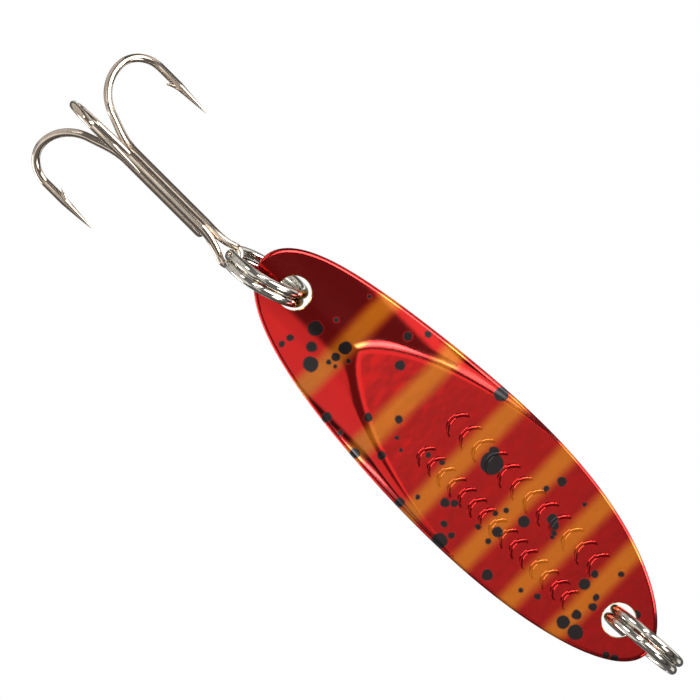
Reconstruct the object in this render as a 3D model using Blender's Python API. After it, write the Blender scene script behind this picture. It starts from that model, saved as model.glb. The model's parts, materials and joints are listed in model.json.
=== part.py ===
"""Casting spoon lure: an oval brass blade cut slantwise from bar, two split rings and a brazed treble hook.

Units are metres. +Z points up the lure as it hangs from the line, and -Y out of the blade's front face.
The origin is the line tie, at the top of the nose ring. Places on the blade are given from its middle.
"""
import math

import bmesh
import bpy
from mathutils import Matrix, Vector

MM = 0.001

# Blade: an oval slice of bar. Its front facet ends in a ridge short of the tail, and beyond the ridge the
# bar's own surface slopes back to a thin tail. The back is the same, turned end for end.
BLADE_LENGTH = 38.1 * MM
BLADE_HALF_WIDTH = 5.55 * MM
OUTLINE_SHAPE = (0.12, 0.08, -0.15)
OUTLINE_SWAY = (-0.29 * MM, 0.18 * MM, 0.63 * MM)
BLADE_THICKNESS = 3.0 * MM
FACET_HALF_LENGTH = 14.4 * MM
FACET_HALF_WIDTH = 5.60 * MM
FACET_CENTRE = 4.36 * MM
RIDGE_SHIFT = -0.15 * MM
RIDGE_WIDENING = 1.5
RIDGE_POINTING = 1.7
SLOPE = math.tan(math.radians(14.0))
RIDGE_ROUNDING = 0.55 * MM
RIM_ROUNDING = 0.25 * MM
OUTLINE_STEPS = 72
RIM_STEPS = 2
FACET_RINGS = (0.94, 0.87, 0.79, 0.70, 0.60, 0.49, 0.36, 0.20)

# Holes through the blade for the split rings.
TAIL_HOLE = Vector((0.10, 0.0, -15.78)) * MM
NOSE_HOLE = Vector((0.29, 0.0, 16.03)) * MM
HOLE_RADIUS = 1.20 * MM
HOLE_SIDES = 40

# Split rings: two turns of round wire side by side, with one cross-over and two cut ends.
RING_OUTER_RADIUS = 3.2 * MM
RING_WIRE_RADIUS = 0.33 * MM
RING_TURN_GAP = 0.03 * MM
CROSSOVER_HALF_ANGLE = math.radians(20.0)
END_HALF_ANGLE = math.radians(25.0)
RING_STEP = math.radians(10.0)
RING_SIDES = 8
RING_RADIUS = RING_OUTER_RADIUS - RING_WIRE_RADIUS

TAIL_RING_CENTRE = Vector((0.70, 0.80, -18.00)) * MM
TAIL_RING_LEAN = math.radians(14.0)
TAIL_RING_TILT = math.radians(-12.0)
NOSE_RING_CENTRE = Vector((0.04, -0.80, 18.20)) * MM
NOSE_RING_LEAN = math.radians(5.0)
NOSE_RING_TILT = math.radians(3.0)

# Treble hook: a double hook, bent from one wire whose middle is the eye, and a single hook brazed beside it.
# Reaches are measured out from the treble's axis, drops down from the middle of the eye.
SHANK_RADIUS = 0.35 * MM
BEND_WIRE_RADIUS = 0.30 * MM
EYE_WIRE_RADIUS = 0.26 * MM
POINT_RADIUS = 0.025 * MM
SHANK_REACH = 0.425 * MM
SPEAR_REACH = 6.55 * MM
BEND_RADIUS = 2.10 * MM
HEEL_RADIUS = 3.35 * MM
HEEL_ANGLE = math.radians(70.0)
BEND_CENTRE_DROP = 12.70 * MM
POINT_DROP = 8.20 * MM
BARB_DROP = 10.90 * MM
LEAD_TOP_DROP = 9.60 * MM
SHANK_TOP_DROP = 2.80 * MM
SINGLE_TOP_DROP = 2.25 * MM
EYE_RADIUS = 0.73 * MM
EYE_ARC = math.radians(115.0)
EYE_TURN = math.radians(8.0)
FRONT_HOOK_TURN = math.radians(3.0)
HOOK_SPACING = math.radians(120.0)
HOOK_SIDES = 8
BARB_LENGTH = 1.15 * MM
BARB_RADIUS = 0.20 * MM
BARB_ANGLE = math.radians(26.0)

# Braze: a fillet in the groove on each side of the single hook's shank, below the eye.
BRAZE_TOP_DROP = 3.0 * MM
BRAZE_LENGTH = 6.2 * MM
BRAZE_PROFILE = ((-0.020, 0.135), (0.020, 0.135), (0.050, 0.205), (0.130, 0.285), (0.0, 0.255), (-0.130, 0.285),
                 (-0.050, 0.205))


def clear_scene():
    for thing in list(bpy.data.objects):
        bpy.data.objects.remove(thing, do_unlink=True)


def material(name, colour, roughness, metallic):
    made = bpy.data.materials.new(name)
    made.use_nodes = True
    shader = made.node_tree.nodes["Principled BSDF"]
    shader.inputs["Base Color"].default_value = (*colour, 1.0)
    shader.inputs["Roughness"].default_value = roughness
    shader.inputs["Metallic"].default_value = metallic
    return made


def add_object(name, mesh_data, surface, place):
    """Turn a bmesh into a named object whose origin lies on its joint's axis."""
    bmesh.ops.recalc_face_normals(mesh_data, faces=mesh_data.faces)
    mesh = bpy.data.meshes.new(name)
    mesh_data.to_mesh(mesh)
    mesh_data.free()
    mesh.shade_smooth()
    mesh.set_sharp_from_angle(angle=math.radians(50.0))
    mesh.materials.append(surface)
    made = bpy.data.objects.new(name, mesh)
    made.matrix_world = place
    bpy.context.scene.collection.objects.link(made)
    return made


def combine(target, tool, operation):
    """Cut or join a hidden tool object into the target."""
    tool.hide_render = True
    tool.display_type = "WIRE"
    modifier = target.modifiers.new(tool.name, "BOOLEAN")
    modifier.operation = operation
    modifier.solver = "EXACT"
    modifier.object = tool


def skin(mesh_data, rings):
    """Join each ring of vertices to the next with quads."""
    for ring, following in zip(rings, rings[1:]):
        count = len(ring)
        for i in range(count):
            j = (i + 1) % count
            mesh_data.faces.new((ring[i], ring[j], following[j], following[i]))


def tube(path, radii, sides):
    """A capped tube along a path, whose sections turn as little as they can."""
    mesh_data = bmesh.new()
    tangents = [(path[min(i + 1, len(path) - 1)] - path[max(i - 1, 0)]).normalized() for i in range(len(path))]
    across = tangents[0].orthogonal().normalized()
    rings = []
    for i, (point, radius) in enumerate(zip(path, radii)):
        if i:
            across = tangents[i - 1].rotation_difference(tangents[i]) @ across
        beside = tangents[i].cross(across)
        turns = [2.0 * math.pi * (k + 0.5) / sides for k in range(sides)]
        rings.append([mesh_data.verts.new(point + radius * (across * math.cos(t) + beside * math.sin(t)))
                      for t in turns])
    skin(mesh_data, rings)
    mesh_data.faces.new(rings[0])
    mesh_data.faces.new(rings[-1])
    return mesh_data


def bezier(start, start_handle, end_handle, end, steps):
    """Points along a cubic curve, without its first one."""
    points = []
    for i in range(1, steps + 1):
        t = i / steps
        points.append(start * (1 - t) ** 3 + start_handle * 3 * t * (1 - t) ** 2
                      + end_handle * 3 * t ** 2 * (1 - t) + end * t ** 3)
    return points


# Blade

def outline(turn):
    """The blade's outline at an angle counted from its nose, as x and z; its midline sways a little."""
    along = math.cos(turn)
    powers = (along, along ** 2, along ** 3)
    width = BLADE_HALF_WIDTH * (1.0 + sum(share * power for share, power in zip(OUTLINE_SHAPE, powers)))
    sway = sum(share * power for share, power in zip(OUTLINE_SWAY, powers))
    return Vector((width * math.sin(turn) + sway, BLADE_LENGTH / 2.0 * along))


def inset_outline(turn, inset):
    """The outline moved inwards, square to itself."""
    small = 0.001
    ahead = (outline(turn + small) - outline(turn - small)).normalized()
    return outline(turn) + inset * Vector((ahead.y, -ahead.x))


def front_depth(x, z):
    """The front surface's y: the flat facet, a rounded ridge, then the slope to the tail."""
    across = min(abs(x - RIDGE_SHIFT) / FACET_HALF_WIDTH, 0.995)
    left = 1.0 - across ** RIDGE_WIDENING
    ridge_z = FACET_CENTRE - FACET_HALF_LENGTH * left ** (1.0 / RIDGE_POINTING)
    steepness = across ** (RIDGE_WIDENING - 1.0) * left ** (1.0 / RIDGE_POINTING - 1.0)
    ridge_lean = FACET_HALF_LENGTH / FACET_HALF_WIDTH * RIDGE_WIDENING / RIDGE_POINTING * steepness
    rounding = RIDGE_ROUNDING * math.sqrt(1.0 + ridge_lean ** 2)
    beyond = ridge_z - z
    if beyond <= -rounding:
        fall = 0.0
    elif beyond < rounding:
        fall = (beyond + rounding) ** 2 / (4.0 * rounding)
    else:
        fall = beyond
    return -BLADE_THICKNESS / 2.0 + SLOPE * fall


def blade_shell():
    """The closed blade: front rings, rounded rim, back rings."""
    mesh_data = bmesh.new()
    turns = [2.0 * math.pi * i / OUTLINE_STEPS for i in range(OUTLINE_STEPS)]
    inner = [inset_outline(turn, RIM_ROUNDING) for turn in turns]

    def ring(points, depths):
        return [mesh_data.verts.new((p.x, depth, p.y)) for p, depth in zip(points, depths)]

    def face_rings(side):
        """Rings from the middle of one face out to its wall; side is -1 in front and 1 behind."""
        def surface(p):
            return front_depth(p.x, p.y) if side < 0 else -front_depth(p.x, -p.y)
        rings = []
        for scale in (*reversed(FACET_RINGS), 1.0):
            points = [p * scale for p in inner]
            rings.append(ring(points, [surface(p) for p in points]))
        for step in range(1, RIM_STEPS + 1):
            angle = math.pi / 2.0 * step / RIM_STEPS
            points = [inset_outline(turn, RIM_ROUNDING * (1.0 - math.sin(angle))) for turn in turns]
            depths = [surface(p) - side * RIM_ROUNDING * (1.0 - math.cos(angle)) for p in inner]
            rings.append(ring(points, depths))
        return rings

    front = face_rings(-1.0)
    back = face_rings(1.0)
    skin(mesh_data, front + back[::-1])
    mesh_data.faces.new(front[0])
    mesh_data.faces.new(back[0])
    return mesh_data


def hole_cutter(name, centre):
    mesh_data = bmesh.new()
    bmesh.ops.create_cone(mesh_data, cap_ends=True, segments=HOLE_SIDES, radius1=HOLE_RADIUS, radius2=HOLE_RADIUS,
                          depth=3.0 * BLADE_THICKNESS)
    place = Matrix.Translation(centre) @ Matrix.Rotation(math.pi / 2.0, 4, "X")
    return add_object(name, mesh_data, bpy.data.materials["brass"], place)


def make_blade(surface, tie):
    """The blade turns on the nose hole, so its own origin is there."""
    mesh_data = blade_shell()
    bmesh.ops.translate(mesh_data, verts=mesh_data.verts, vec=-NOSE_HOLE)
    blade = add_object("spoon_blade", mesh_data, surface, Matrix.Translation(NOSE_HOLE - tie))
    for name, centre in (("tail_hole_cutter", TAIL_HOLE), ("nose_hole_cutter", NOSE_HOLE)):
        combine(blade, hole_cutter(name, centre - tie), "DIFFERENCE")


# Split rings

def crossover(angle):
    """The side step of the wire, from -1 on the first turn to 1 on the second."""
    t = max(-1.0, min(1.0, angle / CROSSOVER_HALF_ANGLE))
    return t * (3.0 - t * t) / 2.0


def make_split_ring(name, surface, axes, centre):
    """Nearly two turns about the local Z, with the cross-over at the local +X."""
    half_pitch = RING_WIRE_RADIUS + RING_TURN_GAP / 2.0
    start = END_HALF_ANGLE
    span = 4.0 * math.pi - 2.0 * END_HALF_ANGLE
    steps = round(span / RING_STEP)
    path = []
    for i in range(steps + 1):
        angle = start + span * i / steps
        path.append(Vector((RING_RADIUS * math.cos(angle), RING_RADIUS * math.sin(angle),
                            half_pitch * crossover(angle - 2.0 * math.pi))))
    mesh_data = tube(path, [RING_WIRE_RADIUS] * len(path), RING_SIDES)
    add_object(name, mesh_data, surface, Matrix.Translation(centre) @ axes)


def ring_directions(lean, tilt):
    """The long direction of a ring that stands on edge, up the lure, and its direction to the back."""
    up = Vector((-math.sin(lean), 0.0, math.cos(lean)))
    sideways = Vector((math.cos(lean), 0.0, math.sin(lean)))
    rearwards = Vector((0.0, 1.0, 0.0)) * math.cos(tilt) + sideways * math.sin(tilt)
    return up, rearwards


def axes_from(local_x, local_y):
    local_z = local_x.cross(local_y)
    return Matrix((local_x, local_y, local_z)).transposed().to_4x4()


# Treble hook

def hook_point(turn, reach, drop):
    """A point in the plane of one hook, which is turned about the treble's axis from the front."""
    return Vector((reach * math.sin(turn), -reach * math.cos(turn), -drop))


def hook_wire(turn):
    """Path and radii of one hook, from its point round the bend and the wider heel to the foot of the shank."""
    flat = [(SPEAR_REACH, POINT_DROP), (SPEAR_REACH, (POINT_DROP + BARB_DROP) / 2.0), (SPEAR_REACH, BARB_DROP)]
    radii = [POINT_RADIUS, 0.6 * BEND_WIRE_RADIUS, BEND_WIRE_RADIUS]
    centre = SPEAR_REACH - BEND_RADIUS
    for i in range(8):
        angle = math.pi / 2.0 * i / 7.0
        flat.append((centre + BEND_RADIUS * math.cos(angle), BEND_CENTRE_DROP + BEND_RADIUS * math.sin(angle)))
    heel_drop = BEND_CENTRE_DROP + BEND_RADIUS - HEEL_RADIUS
    for i in range(1, 7):
        angle = math.pi / 2.0 + HEEL_ANGLE * i / 6.0
        flat.append((centre + HEEL_RADIUS * math.cos(angle), heel_drop + HEEL_RADIUS * math.sin(angle)))
    radii += [BEND_WIRE_RADIUS] * 14
    path = [hook_point(turn, *place) for place in flat]
    heading = (path[-1] - path[-2]).normalized()
    shank_foot = hook_point(turn, SHANK_REACH, LEAD_TOP_DROP)
    lead = bezier(path[-1], path[-1] + heading * 0.9 * MM, shank_foot - Vector((0.0, 0.0, 1.2 * MM)), shank_foot, 6)
    for i, place in enumerate(lead, start=1):
        path.append(place)
        radii.append(BEND_WIRE_RADIUS + (SHANK_RADIUS - BEND_WIRE_RADIUS) * i / len(lead))
    return path, radii


def eye_point(angle):
    """A point on the eye, at an angle from its top; positive angles lead to the front hook."""
    sideways = Vector((math.cos(EYE_TURN), -math.sin(EYE_TURN), 0.0))
    return EYE_RADIUS * (sideways * math.sin(angle) + Vector((0.0, 0.0, math.cos(angle))))


def eye_leg(turn, angle):
    """The wire from the top of a shank up to where it joins the eye's arc."""
    shank_top = hook_point(turn, SHANK_REACH, SHANK_TOP_DROP)
    join = eye_point(angle)
    tangent = (eye_point(angle * 1.01) - join).normalized()
    return [shank_top] + bezier(shank_top, shank_top + Vector((0.0, 0.0, 0.8 * MM)), join + tangent * 0.7 * MM,
                                join, 5)


def add_barb(hook, turn, place):
    """A sliver raised from the inside of the spear, pointing back down to the bend."""
    mesh_data = bmesh.new()
    bmesh.ops.create_cone(mesh_data, cap_ends=True, segments=6, radius1=BARB_RADIUS, radius2=POINT_RADIUS,
                          depth=BARB_LENGTH)
    tip_direction = hook_point(turn, -math.sin(BARB_ANGLE), math.cos(BARB_ANGLE))
    root = hook_point(turn, SPEAR_REACH - 0.12 * MM, BARB_DROP - 0.25 * MM)
    turned = Vector((0.0, 0.0, 1.0)).rotation_difference(tip_direction).to_matrix().to_4x4()
    centre = Matrix.Translation(root + tip_direction * BARB_LENGTH / 2.0)
    name = "barb_tool_%d" % round(math.degrees(turn) % 360.0)
    combine(hook, add_object(name, mesh_data, hook.data.materials[0], place @ centre @ turned), "UNION")


def make_double_hook(surface, place):
    """One wire: side hook, its shank, the eye, the front shank and the front hook."""
    side_turn = FRONT_HOOK_TURN - HOOK_SPACING
    side_path, side_radii = hook_wire(side_turn)
    front_path, front_radii = hook_wire(FRONT_HOOK_TURN)
    side_leg = eye_leg(side_turn, -EYE_ARC)
    front_leg = eye_leg(FRONT_HOOK_TURN, EYE_ARC)
    arc_steps = 12
    arc = [eye_point(-EYE_ARC + 2.0 * EYE_ARC * i / arc_steps) for i in range(1, arc_steps)]
    leg_radii = [SHANK_RADIUS + (EYE_WIRE_RADIUS - SHANK_RADIUS) * i / (len(side_leg) - 1)
                 for i in range(len(side_leg))]
    path = side_path + side_leg + arc + front_leg[::-1] + front_path[::-1]
    radii = side_radii + leg_radii + [EYE_WIRE_RADIUS] * len(arc) + leg_radii[::-1] + front_radii[::-1]
    hook = add_object("treble_double_hook", tube(path, radii, HOOK_SIDES), surface, place)
    for turn in (side_turn, FRONT_HOOK_TURN):
        add_barb(hook, turn, place)


def make_single_hook(surface, place):
    """The third hook, whose shank ends rounded just below the eye."""
    turn = FRONT_HOOK_TURN + HOOK_SPACING
    path, radii = hook_wire(turn)
    for part in (0.0, 0.5, 0.8, 1.0):
        path.append(hook_point(turn, SHANK_REACH, SINGLE_TOP_DROP + SHANK_RADIUS * (1.0 - part)))
        radii.append(SHANK_RADIUS * math.sqrt(1.0 - 0.93 * part ** 2))
    hook = add_object("treble_single_hook", tube(path, radii, HOOK_SIDES), surface, place)
    add_barb(hook, turn, place)


def make_braze(name, turn, surface, place):
    """A fillet along the groove between two shanks; the groove faces outwards at the given turn."""
    mesh_data = bmesh.new()
    outwards = hook_point(turn, 1.0, 0.0)
    beside = hook_point(turn + math.pi / 2.0, 1.0, 0.0)
    groove = outwards * SHANK_REACH * math.cos(HOOK_SPACING / 2.0)
    corners = [groove + (beside * across + outwards * out) * MM for across, out in BRAZE_PROFILE]
    rings = [[mesh_data.verts.new(corner - Vector((0.0, 0.0, drop))) for corner in corners]
             for drop in (BRAZE_TOP_DROP, BRAZE_TOP_DROP + BRAZE_LENGTH)]
    skin(mesh_data, rings)
    mesh_data.faces.new(rings[0])
    mesh_data.faces.new(rings[1])
    add_object(name, mesh_data, surface, place)


def main():
    clear_scene()
    nickel = material("nickel", (0.62, 0.60, 0.57), 0.18, 1.0)
    hook_nickel = material("hook_nickel", (0.55, 0.48, 0.40), 0.22, 1.0)
    lacquer = material("red_lacquer", (0.42, 0.015, 0.012), 0.12, 0.6)
    material("brass", (0.78, 0.50, 0.18), 0.25, 1.0)
    braze = material("braze", (0.52, 0.44, 0.34), 0.40, 1.0)

    nose_up, nose_rear = ring_directions(NOSE_RING_LEAN, NOSE_RING_TILT)
    tail_up, tail_rear = ring_directions(TAIL_RING_LEAN, TAIL_RING_TILT)
    tie = NOSE_RING_CENTRE + nose_up * RING_RADIUS

    make_blade(lacquer, tie)
    make_split_ring("nose_split_ring", nickel, axes_from(nose_rear, nose_up), NOSE_RING_CENTRE - tie)
    make_split_ring("tail_split_ring", nickel, axes_from(-tail_up, tail_rear), TAIL_RING_CENTRE - tie)

    eye = Matrix.Translation(TAIL_RING_CENTRE - tail_up * RING_RADIUS - tie)
    make_double_hook(hook_nickel, eye)
    make_single_hook(hook_nickel, eye)
    single_turn = FRONT_HOOK_TURN + HOOK_SPACING
    make_braze("braze_fillet_front", single_turn - HOOK_SPACING / 2.0, braze, eye)
    make_braze("braze_fillet_back", single_turn + HOOK_SPACING / 2.0, braze, eye)


main()
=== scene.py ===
"""Looks for a casting spoon lure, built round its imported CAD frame.

Units are metres; MM turns millimetres into them. +Z is up the lure as it hangs and -Y out of its front face.
Places on the blade are counted from its middle, drops on the treble down from its eye.
"""
import json
import math

import bmesh
import bpy
from mathutils import Matrix, Vector


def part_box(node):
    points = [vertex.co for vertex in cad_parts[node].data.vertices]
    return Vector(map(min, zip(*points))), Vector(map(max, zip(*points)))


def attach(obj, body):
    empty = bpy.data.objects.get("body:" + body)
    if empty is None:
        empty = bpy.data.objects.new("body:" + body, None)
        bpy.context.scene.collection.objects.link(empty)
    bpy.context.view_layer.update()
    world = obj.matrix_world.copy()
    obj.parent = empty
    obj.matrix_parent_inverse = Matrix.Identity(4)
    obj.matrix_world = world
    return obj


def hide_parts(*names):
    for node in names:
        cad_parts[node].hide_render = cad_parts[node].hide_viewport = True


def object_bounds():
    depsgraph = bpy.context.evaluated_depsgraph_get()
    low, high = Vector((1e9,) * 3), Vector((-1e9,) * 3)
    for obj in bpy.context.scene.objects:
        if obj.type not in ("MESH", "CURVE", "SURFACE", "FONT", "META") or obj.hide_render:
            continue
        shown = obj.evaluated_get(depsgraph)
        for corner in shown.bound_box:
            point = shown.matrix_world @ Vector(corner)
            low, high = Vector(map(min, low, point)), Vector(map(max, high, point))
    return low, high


MM = 0.001
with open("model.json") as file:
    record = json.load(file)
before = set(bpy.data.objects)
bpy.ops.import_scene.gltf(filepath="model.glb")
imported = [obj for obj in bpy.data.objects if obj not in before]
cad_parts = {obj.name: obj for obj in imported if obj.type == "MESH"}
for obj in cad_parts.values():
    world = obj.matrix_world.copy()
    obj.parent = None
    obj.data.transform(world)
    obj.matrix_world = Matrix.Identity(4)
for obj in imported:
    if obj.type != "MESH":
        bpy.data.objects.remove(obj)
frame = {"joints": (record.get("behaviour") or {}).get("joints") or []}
CAD_BOUNDS = [list(corner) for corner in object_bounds()]
JOINTS = {joint["name"]: joint for joint in frame["joints"]}

# Places read from the frame. The nose hole's place on the blade leads from it to the blade's middle.
BLADE_LOW, BLADE_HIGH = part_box("spoon_blade")
NOSE_HOLE = Vector(JOINTS["blade_swing"]["pos_m"])
NOSE_HOLE_PLACE = Vector((0.29, 0.0, 16.03)) * MM
BLADE_MIDDLE = NOSE_HOLE - NOSE_HOLE_PLACE
BLADE_LENGTH = BLADE_HIGH.z - BLADE_LOW.z
BLADE_THICKNESS = BLADE_HIGH.y - BLADE_LOW.y
TAIL_RING_CENTRE = Vector(JOINTS["tail_ring_slide_round"]["pos_m"])
TAIL_RING_AXIS = Vector(JOINTS["tail_ring_slide_round"]["axis"]).normalized()
EYE = Vector(JOINTS["treble_swing"]["pos_m"])
LINE_TIE = Vector((0.0, 0.0, 0.0))

# The blade's form: the same rule as its CAD solid, at a finer grain.
BLADE_HALF_WIDTH = 5.55 * MM
OUTLINE_SHAPE = (0.12, 0.08, -0.15)
OUTLINE_SWAY = (-0.29 * MM, 0.18 * MM, 0.63 * MM)
FACET_HALF_LENGTH = 14.4 * MM
FACET_HALF_WIDTH = 5.60 * MM
FACET_CENTRE = 4.36 * MM
RIDGE_SHIFT = -0.15 * MM
RIDGE_WIDENING = 1.5
RIDGE_POINTING = 1.7
# The ridge's rule stops just short of the edge, where its line would stand upright.
RIDGE_REACH = 0.995
SLOPE = math.tan(math.radians(14.0))
RIDGE_ROUNDING = 0.55 * MM
RIM_ROUNDING = 0.25 * MM
TAIL_HOLE_PLACE = Vector((0.10, 0.0, -15.78)) * MM
TAIL_HOLE = BLADE_MIDDLE + TAIL_HOLE_PLACE
HOLE_RADIUS = 1.20 * MM
HOLE_SIDES = 96
COUNTERSINK = 0.05 * MM
OUTLINE_STEPS = 360
FACE_RINGS = 84
FACE_CROWDING = 1.15
RIM_STEPS = 6

# Struck relief: two rows of fish scales on the front facet. Each row has its x, first z, number and size of
# scales, in millimetres from the blade's middle.
SCALE_ROWS = ((-1.40, -0.9, 12, 1.02), (1.68, -1.0, 15, 0.82))
SCALE_SPACING = 1.22
SCALE_HALF_ANGLE = math.radians(78.0)
SCALE_RIDGE_RADIUS = 0.26
SCALE_RIDGE_HEIGHT = 0.055
SCALE_RIDGE_FADE = 1.3
SCALE_STEPS = 24
SCALE_SIDES = 48

# Split rings and treble hook.
RING_RADIUS = 2.87 * MM
RING_WIRE_RADIUS = 0.33 * MM
RING_HALF_PITCH = 0.345 * MM
CROSSOVER_HALF_ANGLE = math.radians(20.0)
END_HALF_ANGLE = math.radians(25.0)
NOSE_RING_LEAN = math.radians(5.0)
NOSE_RING_TILT = math.radians(3.0)
RING_END_ROUNDING = 0.18
RING_STEPS = 330
WIRE_SIDES = 28
SHANK_RADIUS = 0.35 * MM
BEND_WIRE_RADIUS = 0.30 * MM
EYE_WIRE_RADIUS = 0.26 * MM
POINT_RADIUS = 0.02 * MM
POINT_TAPER = 0.8
SHANK_REACH = 0.425 * MM
SPEAR_REACH = 6.55 * MM
BEND_RADIUS = 2.10 * MM
HEEL_RADIUS = 3.35 * MM
HEEL_ANGLE = math.radians(70.0)
BEND_CENTRE_DROP = 12.70 * MM
POINT_DROP = 8.20 * MM
BARB_DROP = 10.90 * MM
# The barb's root, middle and tip: how far inside the spear and how far below its own drop.
BARB_ROOT = (0.06 * MM, -0.45 * MM)
BARB_MIDDLE = (0.22 * MM, 0.20 * MM)
BARB_TIP = (0.66 * MM, 0.78 * MM)
BARB_RADIUS = 0.19 * MM
BARB_TIP_RADIUS = 0.012 * MM
LEAD_TOP_DROP = 9.60 * MM
SHANK_TOP_DROP = 2.80 * MM
SINGLE_TOP_DROP = 2.25 * MM
SINGLE_TOP_ROUNDING = 0.93
HEEL_HANDLE = 0.9 * MM
SHANK_HANDLE = 1.2 * MM
LEG_HANDLE = 0.8 * MM
EYE_HANDLE = 0.7 * MM
EYE_RADIUS = 0.73 * MM
EYE_ARC = math.radians(115.0)
EYE_TURN = math.radians(8.0)
EYE_NUDGE = 0.01
FRONT_HOOK_TURN = math.radians(3.0)
HOOK_SPACING = math.radians(120.0)
NEEDLE_STEPS = 10
BARB_STEPS = 10
BARB_SIDES = 14
BEND_STEPS = 32
LEAD_STEPS = 20
LEG_STEPS = 18
EYE_STEPS = 40
BRAZE_TOP_DROP = 3.0 * MM
BRAZE_LENGTH = 6.2 * MM
BRAZE_HALF_WIDTH = 0.15 * MM
BRAZE_OUT = 0.235 * MM
BRAZE_HOLLOW = 0.05 * MM
BRAZE_ROOT = 0.14 * MM
# Each end of a fillet starts at a share of its width and widens over so many steps.
BRAZE_END = 4.0
BRAZE_END_SHARE = 0.35
BRAZE_STEPS = 60
BRAZE_FACE_STEPS = 8


# Node helpers

class Nodes:
    """Short ways to build a material's node tree."""

    def __init__(self, tree):
        self.tree = tree

    def add(self, kind, **settings):
        node = self.tree.nodes.new(kind)
        for key, value in settings.items():
            setattr(node, key, value)
        return node

    def link(self, source, target):
        self.tree.links.new(source, target)

    def feed(self, socket, value):
        """Link an output to a socket, or set its value."""
        if hasattr(value, "is_output"):
            self.link(value, socket)
        else:
            socket.default_value = value

    def math(self, operation, a, b=0.0):
        node = self.add("ShaderNodeMath", operation=operation)
        self.feed(node.inputs[0], a)
        self.feed(node.inputs[1], b)
        return node.outputs[0]

    def ramp(self, value, low, high, to_low=0.0, to_high=1.0):
        """A smooth step from one value to another."""
        node = self.add("ShaderNodeMapRange", interpolation_type="SMOOTHSTEP")
        for socket, given in zip(node.inputs, (value, low, high, to_low, to_high)):
            self.feed(socket, given)
        return node.outputs[0]

    def mix(self, share, a, b):
        """A colour between a and b."""
        node = self.add("ShaderNodeMix", data_type="RGBA")
        self.feed(node.inputs[0], share)
        self.feed(node.inputs[6], a)
        self.feed(node.inputs[7], b)
        return node.outputs[2]

    def noise(self, vector, scale, detail=2.0, roughness=0.5):
        node = self.add("ShaderNodeTexNoise")
        self.link(vector, node.inputs["Vector"])
        node.inputs["Scale"].default_value = scale
        node.inputs["Detail"].default_value = detail
        node.inputs["Roughness"].default_value = roughness
        return node.outputs["Fac"]

    def bump(self, height, distance, strength=1.0):
        node = self.add("ShaderNodeBump")
        node.inputs["Strength"].default_value = strength
        node.inputs["Distance"].default_value = distance
        self.link(height, node.inputs["Height"])
        return node.outputs["Normal"]


def blend(nodes, share, a, b):
    """A number between a and b."""
    node = nodes.add("ShaderNodeMix", data_type="FLOAT")
    nodes.feed(node.inputs[0], share)
    nodes.feed(node.inputs[2], a)
    nodes.feed(node.inputs[3], b)
    return node.outputs[0]


def band(nodes, value, low, high, soft):
    """1 between low and high, 0 outside, with soft edges."""
    rise = nodes.ramp(value, low - soft, low + soft)
    fall = nodes.ramp(value, high - soft, high + soft, 1.0, 0.0)
    return nodes.math("MULTIPLY", rise, fall)


def new_material(name):
    """A new material, the helper for its nodes and its shader."""
    material = bpy.data.materials.new(name)
    material.use_nodes = True
    nodes = Nodes(material.node_tree)
    return material, nodes, material.node_tree.nodes["Principled BSDF"]


# Blade paint, in millimetres from the middle of the blade: x to the right, z to the nose.
BAND_PLACES = (-10.7, -5.0, 0.6, 5.45, 9.7, 13.45)
BAND_CORE = 0.25
BAND_FEATHER = 0.95
BAND_DRIFT = 0.35
CANDY_RED = (0.55, 0.003, 0.001, 1.0)
DEEP_RED = (0.51, 0.002, 0.001, 1.0)
GOLD = (0.49, 0.128, 0.003, 1.0)
PAINT_BLACK = (0.006, 0.003, 0.003, 1.0)
GOLD_COVER = 0.92
GOLD_METAL_LOSS = 0.5
LACQUER_ROUGHNESS = 0.06
GRAIN_ROUGHNESS = 0.04
DROP_ROUGHNESS = 0.3
COAT_WEIGHT = 0.45
COAT_ROUGHNESS = 0.13
LACQUER_SPECULAR = 0.1
LACQUER_RELIEF = 0.006 * MM
COAT_RELIEF = 0.004 * MM
DROP_WOBBLE = 0.22
DROP_CORE = 0.06
DROP_EDGE = 0.08
# Scales of the noise in the paint, per metre.
DRIFT_SCALE = 0.25 / MM
CLOUD_SCALE = 0.35 / MM
COAT_SCALE = 0.7 / MM
PEEL_SCALE = 1.1 / MM
WOBBLE_SCALE = 1.6 / MM
GRAIN_SCALE = 6.0 / MM
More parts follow.
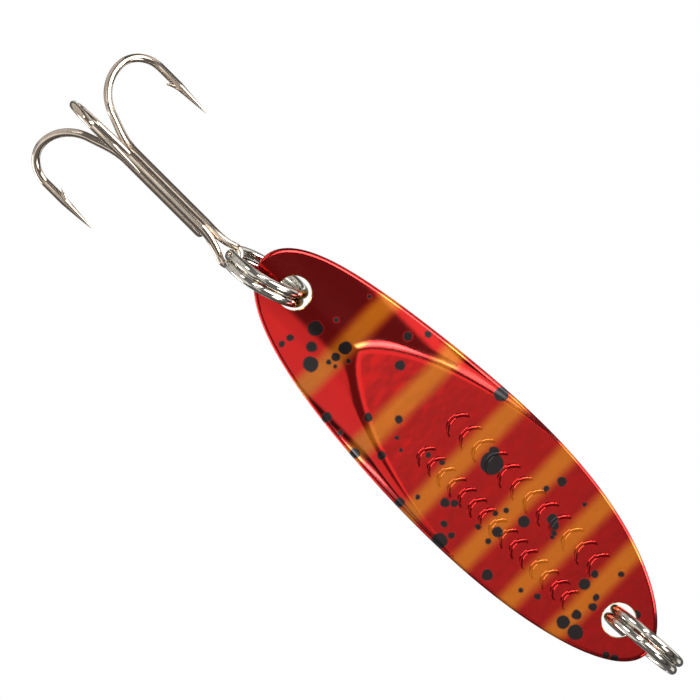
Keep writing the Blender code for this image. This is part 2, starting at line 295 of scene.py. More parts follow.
# Drops of spatter: x, z and radius.
SPATTER = (
    (0.8, -13.0, 0.55), (1.9, -12.3, 0.38), (2.5, -13.8, 0.24), (3.2, -13.9, 0.21), (2.8, -11.5, 0.52),
    (0.3, -10.6, 0.48), (1.2, -10.6, 0.31), (1.8, -10.7, 0.17), (1.7, -10.2, 0.14), (0.8, -9.8, 0.21),
    (-0.6, -12.4, 0.21), (-3.4, -11.9, 0.17), (-4.4, -7.2, 0.24), (-3.3, -8.1, 0.35), (-1.5, -7.1, 0.35),
    (1.2, -4.5, 0.28), (2.6, -6.1, 0.31), (2.2, -3.7, 0.17), (2.6, -2.9, 0.14), (3.8, -3.6, 0.31),
    (4.6, -8.1, 0.35), (5.0, -5.0, 0.35), (4.7, -6.7, 0.21), (5.2, -0.4, 0.35), (1.5, -1.3, 0.21),
    (1.2, -0.3, 0.21), (4.1, 0.2, 0.17), (-5.0, -0.7, 0.50), (-1.2, 2.2, 0.80), (-1.9, 1.7, 0.35),
    (3.0, 1.8, 0.35), (2.6, 2.3, 0.28), (4.1, 2.8, 0.24), (4.3, 3.7, 0.24), (5.1, 3.4, 0.55),
    (-2.6, 6.1, 0.21), (-3.7, 6.5, 0.35), (-3.7, 8.7, 0.17), (0.1, 6.6, 0.42), (0.4, 5.2, 0.21),
    (1.1, 4.8, 0.21), (1.9, 5.8, 0.38), (2.8, 5.8, 0.21), (2.6, 4.6, 0.21), (4.5, 7.4, 0.42),
    (-1.4, 7.85, 0.42), (-1.2, 8.3, 0.31), (-0.8, 8.6, 0.24), (-0.5, 8.75, 0.17), (3.6, 9.8, 0.17),
    (3.1, 10.9, 0.24), (-0.8, 12.6, 0.28), (0.2, 12.6, 0.42), (-2.1, 13.9, 0.21), (0.3, 13.8, 0.24),
    (0.9, 14.1, 0.31), (2.1, 13.7, 0.35), (3.1, 13.4, 0.48), (3.0, 14.5, 0.55), (-0.8, 16.6, 0.38),
    (2.6, 17.1, 0.28), (2.4, 17.7, 0.31),
)


def blade_plane(nodes):
    """The place on the surface, and its millimetres across and along the blade from the middle.

    The back repeats the front turned end for end.
    """
    coordinates = nodes.add("ShaderNodeTexCoord")
    place = coordinates.outputs["Object"]
    split = nodes.add("ShaderNodeSeparateXYZ")
    nodes.link(place, split.inputs[0])
    across = nodes.math("MULTIPLY", nodes.math("SUBTRACT", split.outputs[0], BLADE_MIDDLE.x), 1.0 / MM)
    along = nodes.math("MULTIPLY", nodes.math("SUBTRACT", split.outputs[2], BLADE_MIDDLE.z), 1.0 / MM)
    facing = nodes.add("ShaderNodeSeparateXYZ")
    nodes.link(coordinates.outputs["Normal"], facing.inputs[0])
    behind = nodes.math("GREATER_THAN", facing.outputs[1], 0.0)
    flip = nodes.math("SUBTRACT", 1.0, nodes.math("MULTIPLY", behind, 2.0))
    return place, across, nodes.math("MULTIPLY", along, flip)


def band_mask(nodes, place, along):
    """Six soft airbrushed bands across the blade."""
    drift = nodes.math("SUBTRACT", nodes.noise(place, DRIFT_SCALE), 0.5)
    wavy = nodes.math("ADD", along, nodes.math("MULTIPLY", drift, BAND_DRIFT))
    mask = 0.0
    for centre in BAND_PLACES:
        away = nodes.math("ABSOLUTE", nodes.math("SUBTRACT", wavy, centre))
        stripe = nodes.ramp(away, BAND_CORE, BAND_CORE + BAND_FEATHER, 1.0, 0.0)
        mask = nodes.math("MAXIMUM", mask, stripe)
    return mask


def spatter_mask(nodes, place, across, along):
    """Drops of black paint, with slightly uneven edges."""
    wobble = nodes.add("ShaderNodeTexNoise")
    nodes.link(place, wobble.inputs["Vector"])
    wobble.inputs["Scale"].default_value = WOBBLE_SCALE
    shift = nodes.add("ShaderNodeVectorMath", operation="MULTIPLY_ADD")
    nodes.link(wobble.outputs["Color"], shift.inputs[0])
    shift.inputs[1].default_value = (DROP_WOBBLE, 0.0, DROP_WOBBLE)
    shift.inputs[2].default_value = (-DROP_WOBBLE / 2.0, 0.0, -DROP_WOBBLE / 2.0)
    flat = nodes.add("ShaderNodeCombineXYZ")
    nodes.link(across, flat.inputs[0])
    nodes.link(along, flat.inputs[2])
    moved = nodes.add("ShaderNodeVectorMath", operation="ADD")
    nodes.link(flat.outputs[0], moved.inputs[0])
    nodes.link(shift.outputs[0], moved.inputs[1])
    mask = 0.0
    for x, z, radius in SPATTER:
        gap = nodes.add("ShaderNodeVectorMath", operation="DISTANCE")
        nodes.link(moved.outputs[0], gap.inputs[0])
        gap.inputs[1].default_value = (x, 0.0, z)
        drop = nodes.ramp(gap.outputs["Value"], radius - DROP_CORE, radius + DROP_EDGE, 1.0, 0.0)
        mask = nodes.math("MAXIMUM", mask, drop)
    return mask


def lacquer_material():
    """Translucent red lacquer over bright metal, gold bands, black spatter and a clear coat."""
    material, nodes, shader = new_material("candy_lacquer")
    place, across, along = blade_plane(nodes)
    cloud = nodes.noise(place, CLOUD_SCALE, 3.0)
    red = nodes.mix(nodes.ramp(cloud, 0.3, 0.7), CANDY_RED, DEEP_RED)
    bands = band_mask(nodes, place, along)
    colour = nodes.mix(nodes.math("MULTIPLY", bands, GOLD_COVER), red, GOLD)
    drops = spatter_mask(nodes, place, across, along)
    colour = nodes.mix(drops, colour, PAINT_BLACK)
    nodes.feed(shader.inputs["Base Color"], colour)
    metal = nodes.math("SUBTRACT", 1.0, nodes.math("MULTIPLY", bands, GOLD_METAL_LOSS))
    nodes.feed(shader.inputs["Metallic"], blend(nodes, drops, metal, 0.0))
    grain = nodes.math("MULTIPLY", nodes.noise(place, GRAIN_SCALE), GRAIN_ROUGHNESS)
    rough = nodes.math("ADD", grain, LACQUER_ROUGHNESS)
    matt = nodes.math("MULTIPLY", drops, DROP_ROUGHNESS)
    nodes.feed(shader.inputs["Roughness"], nodes.math("ADD", rough, matt))
    shader.inputs["Coat Weight"].default_value = COAT_WEIGHT
    shader.inputs["Specular IOR Level"].default_value = LACQUER_SPECULAR
    shader.inputs["Coat Roughness"].default_value = COAT_ROUGHNESS
    peel = nodes.bump(nodes.noise(place, PEEL_SCALE, 1.0), LACQUER_RELIEF)
    nodes.link(peel, shader.inputs["Normal"])
    flow = nodes.bump(nodes.noise(place, COAT_SCALE, 1.0), COAT_RELIEF)
    nodes.link(flow, shader.inputs["Coat Normal"])
    return material


# Metals: a brighter and a duller colour, the least and the most roughness.
DRILLED_BRASS = ((0.90, 0.55, 0.16, 1.0), (0.72, 0.36, 0.10, 1.0), 0.15, 0.35)
RING_NICKEL = ((0.68, 0.64, 0.57, 1.0), (0.56, 0.52, 0.45, 1.0), 0.05, 0.12)
HOOK_NICKEL = ((0.66, 0.56, 0.46, 1.0), (0.54, 0.44, 0.35, 1.0), 0.06, 0.13)
PLATED_BRAZE = ((0.60, 0.52, 0.42, 1.0), (0.42, 0.34, 0.26, 1.0), 0.25, 0.45)
DRILL_MARK_STRETCH = (0.15, 1.0, 0.15)
DRILL_MARK_SCALE = 14.0 / MM
DRILL_MARK_RELIEF = 0.01 * MM
WIRE_MARK_STRETCH = (0.35, 14.0, 1.0)
WIRE_MARK_SHARE = 0.3
WIRE_CLOUD_SCALE = 0.9 / MM
WIRE_WAVE_SCALE = 0.5 / MM
WIRE_RELIEF = 0.006 * MM
WIRE_RELIEF_STRENGTH = 0.6


def brass_material():
    """Bare brass in the drilled holes, with the drill's fine rings."""
    material, nodes, shader = new_material("drilled_brass")
    place = nodes.add("ShaderNodeTexCoord").outputs["Object"]
    stretched = nodes.add("ShaderNodeVectorMath", operation="MULTIPLY")
    nodes.link(place, stretched.inputs[0])
    stretched.inputs[1].default_value = DRILL_MARK_STRETCH
    rings = nodes.noise(stretched.outputs[0], DRILL_MARK_SCALE, 3.0)
    bright, dull, smoothest, roughest = DRILLED_BRASS
    nodes.feed(shader.inputs["Base Color"], nodes.mix(rings, bright, dull))
    shader.inputs["Metallic"].default_value = 1.0
    nodes.feed(shader.inputs["Roughness"], blend(nodes, rings, smoothest, roughest))
    nodes.link(nodes.bump(rings, DRILL_MARK_RELIEF), shader.inputs["Normal"])
    return material


def wire_material(name, bright, dull, smoothest, roughest):
    """Plated wire: drawing marks along it, faint clouding and a slight waviness."""
    material, nodes, shader = new_material(name)
    along_wire = nodes.add("ShaderNodeUVMap", uv_map="wire").outputs["UV"]
    place = nodes.add("ShaderNodeTexCoord").outputs["Object"]
    stretched = nodes.add("ShaderNodeVectorMath", operation="MULTIPLY")
    nodes.link(along_wire, stretched.inputs[0])
    stretched.inputs[1].default_value = WIRE_MARK_STRETCH
    marks = nodes.noise(stretched.outputs[0], 1.0, 3.0, 0.6)
    clouds = nodes.noise(place, WIRE_CLOUD_SCALE, 3.0, 0.6)
    tone = blend(nodes, WIRE_MARK_SHARE, clouds, marks)
    nodes.feed(shader.inputs["Base Color"], nodes.mix(nodes.ramp(tone, 0.35, 0.65), bright, dull))
    shader.inputs["Metallic"].default_value = 1.0
    nodes.feed(shader.inputs["Roughness"], nodes.ramp(tone, 0.3, 0.7, smoothest, roughest))
    wave = nodes.bump(nodes.noise(place, WIRE_WAVE_SCALE, 1.0), WIRE_RELIEF, WIRE_RELIEF_STRENGTH)
    nodes.link(wave, shader.inputs["Normal"])
    return material


# Mesh helpers

SHARP_WIRE = 40.0
SHARP_BLADE = 20.0
ROUNDING_ANGLES = (30.0, 60.0, 82.0)


def smooth(thing, sharp):
    """Shade smoothly, but keep edges hard that turn by more degrees than sharp."""
    thing.data.shade_smooth()
    thing.data.set_sharp_from_angle(angle=math.radians(sharp))


def add_object(name, mesh_data, material):
    """Make a smoothly shaded object from a bmesh, which is used up."""
    mesh = bpy.data.meshes.new(name)
    mesh_data.to_mesh(mesh)
    mesh_data.free()
    mesh.materials.append(material)
    made = bpy.data.objects.new(name, mesh)
    bpy.context.scene.collection.objects.link(made)
    smooth(made, SHARP_WIRE)
    return made


def combine(thing, mesh_data, operation, material):
    """Cut a tool from a piece, or join it on, with its own material on the faces that it leaves."""
    tool = add_object("tool", mesh_data, material)
    modifier = thing.modifiers.new("combine", "BOOLEAN")
    modifier.operation = operation
    modifier.solver = "EXACT"
    modifier.material_mode = "TRANSFER"
    modifier.object = tool
    bpy.context.view_layer.update()
    evaluated = thing.evaluated_get(bpy.context.evaluated_depsgraph_get())
    mesh = bpy.data.meshes.new_from_object(evaluated)
    thing.modifiers.clear()
    thing.data = mesh
    bpy.data.objects.remove(tool)


def skin(mesh_data, rings):
    """Join each ring of vertices to the next with quads."""
    faces = []
    for ring, following in zip(rings, rings[1:]):
        count = len(ring)
        for i in range(count):
            j = (i + 1) % count
            faces.append(mesh_data.faces.new((ring[i], ring[j], following[j], following[i])))
    return faces


def close_ends(mesh_data, first, last):
    """Cap both ends and turn every face outwards."""
    mesh_data.faces.new(first)
    mesh_data.faces.new(last)
    bmesh.ops.recalc_face_normals(mesh_data, faces=mesh_data.faces)


def close_wire(mesh_data, uv, rings, run):
    """Skin and cap a wire; its UV map holds the run along it and the share of a turn round it."""
    sides = len(rings[0])
    for index, face in enumerate(skin(mesh_data, rings)):
        station, side = divmod(index, sides)
        corners = ((station, side), (station, side + 1), (station + 1, side + 1), (station + 1, side))
        for loop, (i, k) in zip(face.loops, corners):
            loop[uv].uv = (run[i], k / sides)
    close_ends(mesh_data, rings[0][::-1], rings[-1])


def add_mesh(target, source):
    """Move one bmesh into another."""
    mesh = bpy.data.meshes.new("part")
    source.to_mesh(mesh)
    source.free()
    target.from_mesh(mesh)
    bpy.data.meshes.remove(mesh)


def tube(path, radii, sides):
    """A capped tube along a path, with a UV map named wire whose run is in millimetres."""
    mesh_data = bmesh.new()
    uv = mesh_data.loops.layers.uv.new("wire")
    last = len(path) - 1
    tangents = [(path[min(i + 1, last)] - path[max(i - 1, 0)]).normalized() for i in range(len(path))]
    across = tangents[0].orthogonal().normalized()
    rings = []
    run = [0.0]
    for i, (point, radius) in enumerate(zip(path, radii)):
        if i:
            across = tangents[i - 1].rotation_difference(tangents[i]) @ across
            run.append(run[-1] + (point - path[i - 1]).length / MM)
        beside = tangents[i].cross(across)
        ring = []
        for k in range(sides):
            turn = 2.0 * math.pi * k / sides
            offset = radius * (across * math.cos(turn) + beside * math.sin(turn))
            ring.append(mesh_data.verts.new(point + offset))
        rings.append(ring)
    close_wire(mesh_data, uv, rings, run)
    return mesh_data


def bezier(start, start_handle, end_handle, end, steps):
    """Points along a cubic curve, without its first one."""
    points = []
    for i in range(1, steps + 1):
        t = i / steps
        points.append(start * (1 - t) ** 3 + start_handle * 3 * t * (1 - t) ** 2
                      + end_handle * 3 * t ** 2 * (1 - t) + end * t ** 3)
    return points


def rounded_end(path, radii, wire_radius, share):
    """Round off the last end of a tube over a share of its wire's radius."""
    heading = (path[-1] - path[-2]).normalized()
    end = path[-1]
    for angle in ROUNDING_ANGLES:
        turn = math.radians(angle)
        path.append(end + heading * wire_radius * share * math.sin(turn))
        radii.append(wire_radius * (1.0 - share * (1.0 - math.cos(turn))))


# Blade

def outline(turn):
    """The blade's outline at an angle counted from its nose, as x and z; its midline sways a little."""
    along = math.cos(turn)
    powers = (along, along ** 2, along ** 3)
    width = BLADE_HALF_WIDTH * (1.0 + sum(share * power for share, power in zip(OUTLINE_SHAPE, powers)))
    sway = sum(share * power for share, power in zip(OUTLINE_SWAY, powers))
    return Vector((width * math.sin(turn) + sway, BLADE_LENGTH / 2.0 * along))


def inset_outline(turn, inset):
    """The outline moved inwards, square to itself."""
    small = 0.001
    ahead = (outline(turn + small) - outline(turn - small)).normalized()
    return outline(turn) + inset * Vector((ahead.y, -ahead.x))


def front_depth(x, z):
    """The front surface's y: the flat facet, a rounded ridge, then the slope to the tail."""
    across = min(abs(x - RIDGE_SHIFT) / FACET_HALF_WIDTH, RIDGE_REACH)
    left = 1.0 - across ** RIDGE_WIDENING
    ridge_z = FACET_CENTRE - FACET_HALF_LENGTH * left ** (1.0 / RIDGE_POINTING)
    steepness = across ** (RIDGE_WIDENING - 1.0) * left ** (1.0 / RIDGE_POINTING - 1.0)
    ridge_lean = FACET_HALF_LENGTH / FACET_HALF_WIDTH * RIDGE_WIDENING / RIDGE_POINTING * steepness
    rounding = RIDGE_ROUNDING * math.sqrt(1.0 + ridge_lean ** 2)
    beyond = ridge_z - z
    if beyond <= -rounding:
        fall = 0.0
    elif beyond < rounding:
        fall = (beyond + rounding) ** 2 / (4.0 * rounding)
    else:
        fall = beyond
    return -BLADE_THICKNESS / 2.0 + SLOPE * fall


def surface_depth(x, z, side):
    """The y of the front (side below 0) or of the back, which is the front turned end for end."""
    return front_depth(x, z) if side < 0 else -front_depth(x, -z)


def blade_mesh():
    """Front rings, rounded rim and back rings, closed."""
    mesh_data = bmesh.new()
    turns = [2.0 * math.pi * i / OUTLINE_STEPS for i in range(OUTLINE_STEPS)]
    inner = [inset_outline(turn, RIM_ROUNDING) for turn in turns]

    def ring(points, depths):
        places = [Vector((p.x, depth, p.y)) for p, depth in zip(points, depths)]
        return [mesh_data.verts.new(BLADE_MIDDLE + place) for place in places]

    def face_rings(side):
        rings = []
        for step in range(1, FACE_RINGS + 1):
            share = 1.0 - (1.0 - step / FACE_RINGS) ** FACE_CROWDING
            points = [p * share for p in inner]
            rings.append(ring(points, [surface_depth(p.x, p.y, side) for p in points]))
        for step in range(1, RIM_STEPS + 1):
            angle = math.pi / 2.0 * step / RIM_STEPS
            points = [inset_outline(turn, RIM_ROUNDING * (1.0 - math.sin(angle))) for turn in turns]
            drop = side * RIM_ROUNDING * (1.0 - math.cos(angle))
            rings.append(ring(points, [surface_depth(p.x, p.y, side) - drop for p in inner]))
        return rings

    front = face_rings(-1.0)
    back = face_rings(1.0)
    skin(mesh_data, front + back[::-1])
    close_ends(mesh_data, front[0], back[0])
    return mesh_data


def drill(blade, centre, material):
    """Cut one hole, whose edges are broken by a countersink that follows each face."""
    mesh_data = bmesh.new()
    local = centre - BLADE_MIDDLE
    rings = [[] for _ in range(6)]
    for i in range(HOLE_SIDES):
        turn = 2.0 * math.pi * i / HOLE_SIDES
        spoke = Vector((math.cos(turn), 0.0, math.sin(turn)))
        edge = local + spoke * HOLE_RADIUS
        front = surface_depth(edge.x, edge.z, -1.0)
        back = surface_depth(edge.x, edge.z, 1.0)
        wide = HOLE_RADIUS + 2.0 * COUNTERSINK
        profile = (
            (-2.0 * BLADE_THICKNESS, wide),
            (front - COUNTERSINK, wide),
            (front + COUNTERSINK, HOLE_RADIUS),
            (back - COUNTERSINK, HOLE_RADIUS),
            (back + COUNTERSINK, wide),
            (2.0 * BLADE_THICKNESS, wide),
        )
        for ring, (depth, radius) in zip(rings, profile):
            place = centre + spoke * radius
            ring.append(mesh_data.verts.new((place.x, BLADE_MIDDLE.y + depth, place.z)))
    skin(mesh_data, rings)
    close_ends(mesh_data, rings[0], rings[-1])
    combine(blade, mesh_data, "DIFFERENCE", material)


def scale_ridge(x, z, size):
    """The raised edge of one scale: an arc of tube, sunk until only a low, fading ridge shows."""
    path = []
    for i in range(SCALE_STEPS + 1):
        share = 2.0 * i / SCALE_STEPS - 1.0
        angle = share * SCALE_HALF_ANGLE
        height = SCALE_RIDGE_HEIGHT * (1.0 - SCALE_RIDGE_FADE * share ** 4)
        depth = SCALE_RIDGE_RADIUS - height
        place = Vector((x + size * math.sin(angle), depth, z - size * math.cos(angle))) * MM
        path.append(BLADE_MIDDLE + place - Vector((0.0, BLADE_THICKNESS / 2.0, 0.0)))
    return tube(path, [SCALE_RIDGE_RADIUS * MM] * len(path), SCALE_SIDES)


def strike_scales(blade, material):
    """Raise the rows of scales from the blade."""
    rows = bmesh.new()
    for x, start, count, size in SCALE_ROWS:
        for i in range(count):
            add_mesh(rows, scale_ridge(x, start + i * SCALE_SPACING * size, size))
    combine(blade, rows, "UNION", material)


def make_blade(lacquer, brass):
    """The drilled blade with its struck scales, without the UV map that their tubes bring."""
    blade = add_object("lacquered_blade", blade_mesh(), lacquer)
    for centre in (TAIL_HOLE, NOSE_HOLE):
        drill(blade, centre, brass)
    strike_scales(blade, lacquer)
    blade.data.uv_layers.remove(blade.data.uv_layers["wire"])
    smooth(blade, SHARP_BLADE)
    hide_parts("spoon_blade")
    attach(blade, "blade")


# Split rings

def crossover(angle):
    """The side step of the wire, from -1 on the first turn to 1 on the second."""
    t = max(-1.0, min(1.0, angle / CROSSOVER_HALF_ANGLE))
    return t * (3.0 - t * t) / 2.0


def make_split_ring(name, node, body, centre, local_x, local_y, material):
    """Nearly two turns of wire in the plane of local_x and local_y, crossing over at local_x."""
    local_z = local_x.cross(local_y)
    span = 4.0 * math.pi - 2.0 * END_HALF_ANGLE
    path = []
    for i in range(RING_STEPS + 1):
        angle = END_HALF_ANGLE + span * i / RING_STEPS
        side = RING_HALF_PITCH * crossover(angle - 2.0 * math.pi)
        spoke = local_x * math.cos(angle) + local_y * math.sin(angle)
        path.append(centre + RING_RADIUS * spoke + local_z * side)
    radii = [RING_WIRE_RADIUS] * len(path)
    rounded_end(path, radii, RING_WIRE_RADIUS, RING_END_ROUNDING)
    path.reverse()
    radii.reverse()
    rounded_end(path, radii, RING_WIRE_RADIUS, RING_END_ROUNDING)
    ring = add_object(name, tube(path, radii, WIRE_SIDES), material)
    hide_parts(node)
    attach(ring, body)


def make_rings(material):
    """The nose ring hangs upright from the line tie; the tail ring lies as its joint says."""
    nose_up = Vector((-math.sin(NOSE_RING_LEAN), 0.0, math.cos(NOSE_RING_LEAN)))
    sideways = Vector((math.cos(NOSE_RING_LEAN), 0.0, math.sin(NOSE_RING_LEAN)))
    nose_rear = Vector((0.0, 1.0, 0.0)) * math.cos(NOSE_RING_TILT) + sideways * math.sin(NOSE_RING_TILT)
    nose_centre = LINE_TIE - nose_up * RING_RADIUS
    make_split_ring("nose_ring_wire", "nose_split_ring", "nose_ring",
                    nose_centre, nose_rear, nose_up, material)
    tail_down = (EYE - TAIL_RING_CENTRE).normalized()
    tail_rear = TAIL_RING_AXIS.cross(tail_down)
    make_split_ring("tail_ring_wire", "tail_split_ring", "tail_ring",
                    TAIL_RING_CENTRE, tail_down, tail_rear, material)


# Treble hook

def hook_point(turn, reach, drop):
    """A point in the plane of one hook, which is turned about the treble's axis from the front."""
    return Vector((reach * math.sin(turn), -reach * math.cos(turn), -drop))


def hook_wire(turn):
    """Path and radii of one hook, from its point round the bend and the heel to the foot of the shank."""
    flat = []
    radii = []
    for i in range(NEEDLE_STEPS + 1):
        share = i / NEEDLE_STEPS
        flat.append((SPEAR_REACH, POINT_DROP + (BARB_DROP - POINT_DROP) * share))
        radii.append(POINT_RADIUS + (BEND_WIRE_RADIUS - POINT_RADIUS) * share ** POINT_TAPER)
    centre = SPEAR_REACH - BEND_RADIUS
    for i in range(BEND_STEPS + 1):
        angle = math.pi / 2.0 * i / BEND_STEPS
        drop = BEND_CENTRE_DROP + BEND_RADIUS * math.sin(angle)
        flat.append((centre + BEND_RADIUS * math.cos(angle), drop))
    heel_drop = BEND_CENTRE_DROP + BEND_RADIUS - HEEL_RADIUS
    for i in range(1, BEND_STEPS + 1):
        angle = math.pi / 2.0 + HEEL_ANGLE * i / BEND_STEPS
        flat.append((centre + HEEL_RADIUS * math.cos(angle), heel_drop + HEEL_RADIUS * math.sin(angle)))
    radii += [BEND_WIRE_RADIUS] * (2 * BEND_STEPS + 1)
    path = [hook_point(turn, *place) for place in flat]
    heading = (path[-1] - path[-2]).normalized()
    shank_foot = hook_point(turn, SHANK_REACH, LEAD_TOP_DROP)
    handle = shank_foot - Vector((0.0, 0.0, SHANK_HANDLE))
    lead = bezier(path[-1], path[-1] + heading * HEEL_HANDLE, handle, shank_foot, LEAD_STEPS)
    for i, place in enumerate(lead, start=1):
        path.append(place)
        radii.append(BEND_WIRE_RADIUS + (SHANK_RADIUS - BEND_WIRE_RADIUS) * i / len(lead))
    return path, radii


def eye_point(angle):
    """A point on the eye, at an angle from its top; positive angles lead to the front hook."""
    sideways = Vector((math.cos(EYE_TURN), -math.sin(EYE_TURN), 0.0))
    return EYE_RADIUS * (sideways * math.sin(angle) + Vector((0.0, 0.0, math.cos(angle))))


def eye_leg(turn, angle):
    """The wire from the top of a shank up to where it joins the eye's arc."""
    shank_top = hook_point(turn, SHANK_REACH, SHANK_TOP_DROP)
    join = eye_point(angle)
    tangent = (eye_point(angle * (1.0 + EYE_NUDGE)) - join).normalized()
    handle = shank_top + Vector((0.0, 0.0, LEG_HANDLE))
    return [shank_top] + bezier(shank_top, handle, join + tangent * EYE_HANDLE, join, LEG_STEPS)


def barb(turn):
    """A sliver raised from the inside of the spear, pointing back down to the bend."""
    root, middle, tip = (hook_point(turn, SPEAR_REACH - inside, BARB_DROP + below)
                         for inside, below in (BARB_ROOT, BARB_MIDDLE, BARB_TIP))
    path = [root] + bezier(root, (root + middle) / 2.0, middle, tip, BARB_STEPS)
    shares = [1.0 - i / BARB_STEPS for i in range(BARB_STEPS + 1)]
    radii = [BARB_RADIUS * math.sqrt(share) + BARB_TIP_RADIUS for share in shares]
    return tube(path, radii, BARB_SIDES)


def finish_hook(name, mesh_data, turns, node, material):
    """Add a barb to each hook, and hang the wire from its eye."""
    hook = add_object(name, mesh_data, material)
    for turn in turns:
        combine(hook, barb(turn), "UNION", material)
    hook.data.transform(Matrix.Translation(EYE))
    smooth(hook, SHARP_WIRE)
    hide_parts(node)
    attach(hook, "treble")


def make_double_hook(material):
    """One wire: side hook, its shank, the eye, the front shank and the front hook."""
    side_turn = FRONT_HOOK_TURN - HOOK_SPACING
    side_path, side_radii = hook_wire(side_turn)
    front_path, front_radii = hook_wire(FRONT_HOOK_TURN)
    side_leg = eye_leg(side_turn, -EYE_ARC)
    front_leg = eye_leg(FRONT_HOOK_TURN, EYE_ARC)
    arc = [eye_point(-EYE_ARC + 2.0 * EYE_ARC * i / EYE_STEPS) for i in range(1, EYE_STEPS)]
    count = len(side_leg)
    leg_radii = [SHANK_RADIUS + (EYE_WIRE_RADIUS - SHANK_RADIUS) * i / (count - 1) for i in range(count)]
    path = side_path + side_leg + arc + front_leg[::-1] + front_path[::-1]
    radii = side_radii + leg_radii + [EYE_WIRE_RADIUS] * len(arc) + leg_radii[::-1] + front_radii[::-1]
    turns = (side_turn, FRONT_HOOK_TURN)
    finish_hook("double_hook_wire", tube(path, radii, WIRE_SIDES), turns, "treble_double_hook", material)


def make_single_hook(material):
    """The third hook, whose shank ends rounded just below the eye."""
    turn = FRONT_HOOK_TURN + HOOK_SPACING
    path, radii = hook_wire(turn)
    path.append(hook_point(turn, SHANK_REACH, SINGLE_TOP_DROP + SHANK_RADIUS))
    radii.append(SHANK_RADIUS)
    rounded_end(path, radii, SHANK_RADIUS, SINGLE_TOP_ROUNDING)
    finish_hook("single_hook_wire", tube(path, radii, WIRE_SIDES), (turn,), "treble_single_hook", material)


def make_braze(name, node, turn, material):
    """A hollow fillet in the groove between two shanks, narrower at its ends."""
    outwards = hook_point(turn, 1.0, 0.0)
    beside = hook_point(turn + math.pi / 2.0, 1.0, 0.0)
    groove = outwards * SHANK_REACH * math.cos(HOOK_SPACING / 2.0)
    mesh_data = bmesh.new()
    uv = mesh_data.loops.layers.uv.new("wire")
    rings = []
    run = []
    for i in range(BRAZE_STEPS + 1):
        share = i / BRAZE_STEPS
        end = min(1.0, math.sqrt(min(i, BRAZE_STEPS - i) / BRAZE_END))
        grow = min(1.0, BRAZE_END_SHARE + (1.0 - BRAZE_END_SHARE) * end)
        drop = BRAZE_TOP_DROP + BRAZE_LENGTH * share
        profile = []
        for k in range(BRAZE_FACE_STEPS + 1):
            across = (2.0 * k / BRAZE_FACE_STEPS - 1.0) * grow
            out = BRAZE_OUT + BRAZE_HOLLOW * grow * across ** 2
            profile.append(groove + beside * across * BRAZE_HALF_WIDTH + outwards * out)
        profile.append(groove + outwards * BRAZE_ROOT)
        rings.append([mesh_data.verts.new(EYE + place - Vector((0.0, 0.0, drop))) for place in profile])
        run.append(BRAZE_LENGTH / MM * share)
    close_wire(mesh_data, uv, rings, run)
    fillet = add_object(name, mesh_data, material)
    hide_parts(node)
    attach(fillet, "treble")


# Studio

def aim(thing, place, target, up=Vector((0.0, 0.0, 1.0))):
    """Put a camera or light at a place and point it at the target."""
    back = (place - target).normalized()
    right = up.cross(back).normalized()
    turned = Matrix((right, back.cross(right), back)).transposed().to_4x4()
    thing.matrix_world = Matrix.Translation(place) @ turned


# The room that the lure reflects, by direction: x to the right, y to the back and z up. A pair says where a
# layer begins and where it is full; two more values say how bright it is at those places.
FRONT_FADE = (-0.012, 0.009, 1.50, 0.66)
# The layers in front, each over those before it, with their brightness: upper panel, dark ceiling, a dim gap
# on the left, on the right and below.
FRONT_LAYERS = (
    ("z", 0.025, 0.055, 0.47),
    ("z", 0.08, 0.20, 0.16),
    ("x", -0.24, -0.34, 0.20),
    ("x", 0.30, 0.42, 0.20),
    ("z", -0.08, -0.15, 0.20),
)
FLOOR_EDGE = (-0.31, -0.36)
FLOOR_STEP = (0.46, 0.56, 0.19, 0.95)
LEFT_PANEL_EDGE = (-0.84, -0.90)
LEFT_PANEL_GAP = (0.06, 0.14)
LEFT_PANEL = 1.5
RIGHT_PANEL_EDGE = (0.64, 0.72)
RIGHT_PANEL_TOP = (-0.04, -0.12)
RIGHT_PANEL = 1.1
# Low end, high end and softness of the dark zone at the sides.
SIDE_BOUNDS = (-0.08, 0.12, 0.06)
SIDES = 0.05
BEHIND_EDGE = (0.0, 0.12)
BEHIND = 0.75
BEHIND_LIMIT = 1.4
LAMP_EDGE = 0.02
# Lamps as their bounds in x and z, their brightness and the softness of their lower and upper edges: the
# ridge's strip and its weaker end, one that lights the rim on the left, an upright one on the right, one
# above and one below.
LAMPS = (
    ((-0.55, -0.12, -0.31, -0.24), 26.0, 0.06),
    ((-0.90, -0.57, -0.235, -0.13), 9.0, 0.02),
    ((-0.95, -0.55, 0.06, 0.55), 7.0, 0.02),
    ((0.56, 0.64, -0.10, 0.30), 2.4, 0.02),
    ((-0.30, 0.20, 0.70, 0.90), 5.0, 0.02),
    ((-0.30, 0.20, -0.90, -0.70), 5.0, 0.02),
)

# Area lights: direction from the blade, width and height in metres, and watts.
LIGHT_DISTANCE = 0.40
LIGHTS = {
    "key": ((-0.9, -0.5, 0.6), 0.06, 0.12, 0.5),
    "rim": ((0.9, 0.3, -0.4), 0.08, 0.20, 0.4),
}
WHITE = (1.0, 1.0, 1.0, 1.0)
FLOOR_RADIUS = 55.0 * MM
FLOOR_DROP = 60.0 * MM
FLOOR_PALE = (0.82, 0.82, 0.81, 1.0)
FLOOR_DULL = (0.78, 0.78, 0.77, 1.0)
FLOOR_ROUGHNESS = 0.8
FLOOR_GRAIN_SCALE = 60.0
FLOOR_SIDES = 96

FRAME_WIDTH = 48.4 * MM
LENS = 400.0
SENSOR = 36.0
ROLL = math.radians(45.1)
LOOK_AT = Vector((0.18, 0.0, -10.26)) * MM


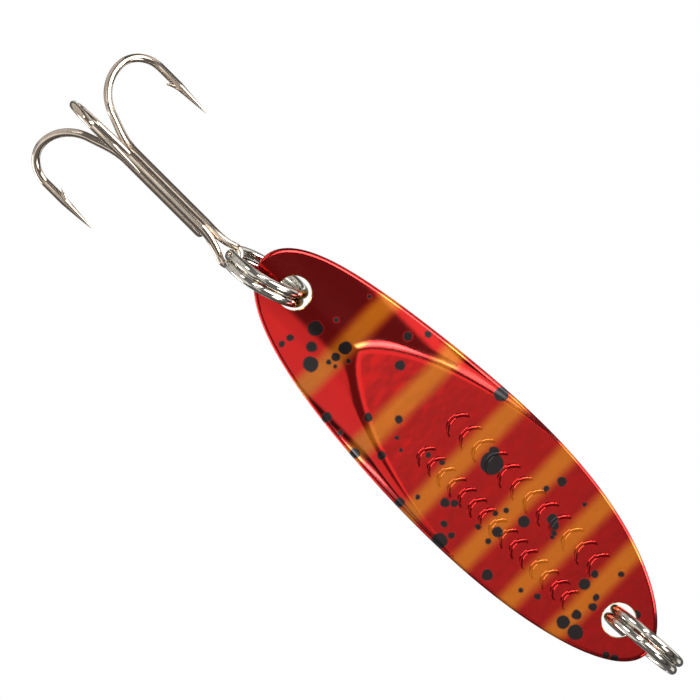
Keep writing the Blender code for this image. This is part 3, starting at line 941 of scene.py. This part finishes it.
def make_camera():
    """Square on to the blade's front, rolled so that the lure lies across the picture."""
    data = bpy.data.cameras.new("camera")
    data.lens = LENS
    data.sensor_width = SENSOR
    data.clip_start = 0.01
    data.clip_end = 50.0
    camera = bpy.data.objects.new("camera", data)
    bpy.context.scene.collection.objects.link(camera)
    target = BLADE_MIDDLE + LOOK_AT
    distance = FRAME_WIDTH * LENS / SENSOR
    up = Vector((-math.sin(ROLL), 0.0, -math.cos(ROLL)))
    aim(camera, target - Vector((0.0, distance, 0.0)), target, up)
    bpy.context.scene.camera = camera


def make_lights():
    """Area lights that face the middle of the blade."""
    for name, (direction, width, height, watts) in LIGHTS.items():
        data = bpy.data.lights.new(name, "AREA")
        data.shape = "RECTANGLE"
        data.size = width
        data.size_y = height
        data.energy = watts
        lamp = bpy.data.objects.new(name, data)
        bpy.context.scene.collection.objects.link(lamp)
        aim(lamp, BLADE_MIDDLE + Vector(direction).normalized() * LIGHT_DISTANCE, BLADE_MIDDLE)


def make_world():
    """A white surround for the picture, and a room for the lure to reflect."""
    world = bpy.data.worlds.new("studio")
    bpy.context.scene.world = world
    world.use_nodes = True
    nodes = Nodes(world.node_tree)
    split = nodes.add("ShaderNodeSeparateXYZ")
    nodes.link(nodes.add("ShaderNodeTexCoord").outputs["Generated"], split.inputs[0])
    x, y, z = split.outputs
    axes = {"x": x, "z": z}
    level = nodes.ramp(z, *FRONT_FADE)
    for axis, start, full, brightness in FRONT_LAYERS:
        level = blend(nodes, nodes.ramp(axes[axis], start, full), level, brightness)
    # The floor is dark on the left and bright on the right.
    level = blend(nodes, nodes.ramp(z, *FLOOR_EDGE), level, nodes.ramp(x, *FLOOR_STEP))
    # Side panels: the left one leaves a gap at the lure's own height, the right one lies below it.
    off_level = nodes.ramp(nodes.math("ABSOLUTE", z), *LEFT_PANEL_GAP)
    left = nodes.math("MULTIPLY", nodes.ramp(x, *LEFT_PANEL_EDGE), off_level)
    level = blend(nodes, left, level, LEFT_PANEL)
    right = nodes.math("MULTIPLY", nodes.ramp(x, *RIGHT_PANEL_EDGE), nodes.ramp(z, *RIGHT_PANEL_TOP))
    level = blend(nodes, right, level, RIGHT_PANEL)
    for (x_low, x_high, z_low, z_high), power, soft in LAMPS:
        wide = band(nodes, x, x_low, x_high, LAMP_EDGE)
        tall = band(nodes, z, z_low, z_high, soft)
        level = blend(nodes, nodes.math("MULTIPLY", wide, tall), level, power)
    # Behind the lure the same room again, weaker, and dark at the sides.
    behind = nodes.math("MULTIPLY", nodes.math("MINIMUM", level, BEHIND_LIMIT), BEHIND)
    level = blend(nodes, nodes.ramp(y, *BEHIND_EDGE), level, behind)
    level = blend(nodes, band(nodes, y, *SIDE_BOUNDS), level, SIDES)
    colour = nodes.add("ShaderNodeCombineColor")
    for socket in colour.inputs[:3]:
        nodes.link(level, socket)
    seen = nodes.add("ShaderNodeLightPath").outputs["Is Camera Ray"]
    background = world.node_tree.nodes["Background"]
    nodes.link(nodes.mix(seen, colour.outputs[0], WHITE), background.inputs["Color"])
    background.inputs["Strength"].default_value = 1.0


def make_floor():
    """A small plain pale floor under the hanging lure."""
    mesh_data = bmesh.new()
    bmesh.ops.create_circle(mesh_data, cap_ends=True, segments=FLOOR_SIDES, radius=FLOOR_RADIUS)
    material, nodes, shader = new_material("pale_floor")
    grain = nodes.noise(nodes.add("ShaderNodeTexCoord").outputs["Object"], FLOOR_GRAIN_SCALE, 3.0)
    nodes.feed(shader.inputs["Base Color"], nodes.mix(grain, FLOOR_PALE, FLOOR_DULL))
    shader.inputs["Roughness"].default_value = FLOOR_ROUGHNESS
    floor = add_object("floor", mesh_data, material)
    floor.location = (BLADE_MIDDLE.x, BLADE_MIDDLE.y, CAD_BOUNDS[0][2] - FLOOR_DROP)


def main():
    bpy.context.scene.view_settings.view_transform = "Standard"
    make_camera()
    make_world()
    make_lights()
    make_floor()
    make_blade(lacquer_material(), brass_material())
    make_rings(wire_material("ring_nickel", *RING_NICKEL))
    hook_metal = wire_material("hook_nickel", *HOOK_NICKEL)
    make_double_hook(hook_metal)
    make_single_hook(hook_metal)
    braze_metal = wire_material("braze", *PLATED_BRAZE)
    single_turn = FRONT_HOOK_TURN + HOOK_SPACING
    make_braze("braze_front", "braze_fillet_front", single_turn - HOOK_SPACING / 2.0, braze_metal)
    make_braze("braze_back", "braze_fillet_back", single_turn + HOOK_SPACING / 2.0, braze_metal)


main()
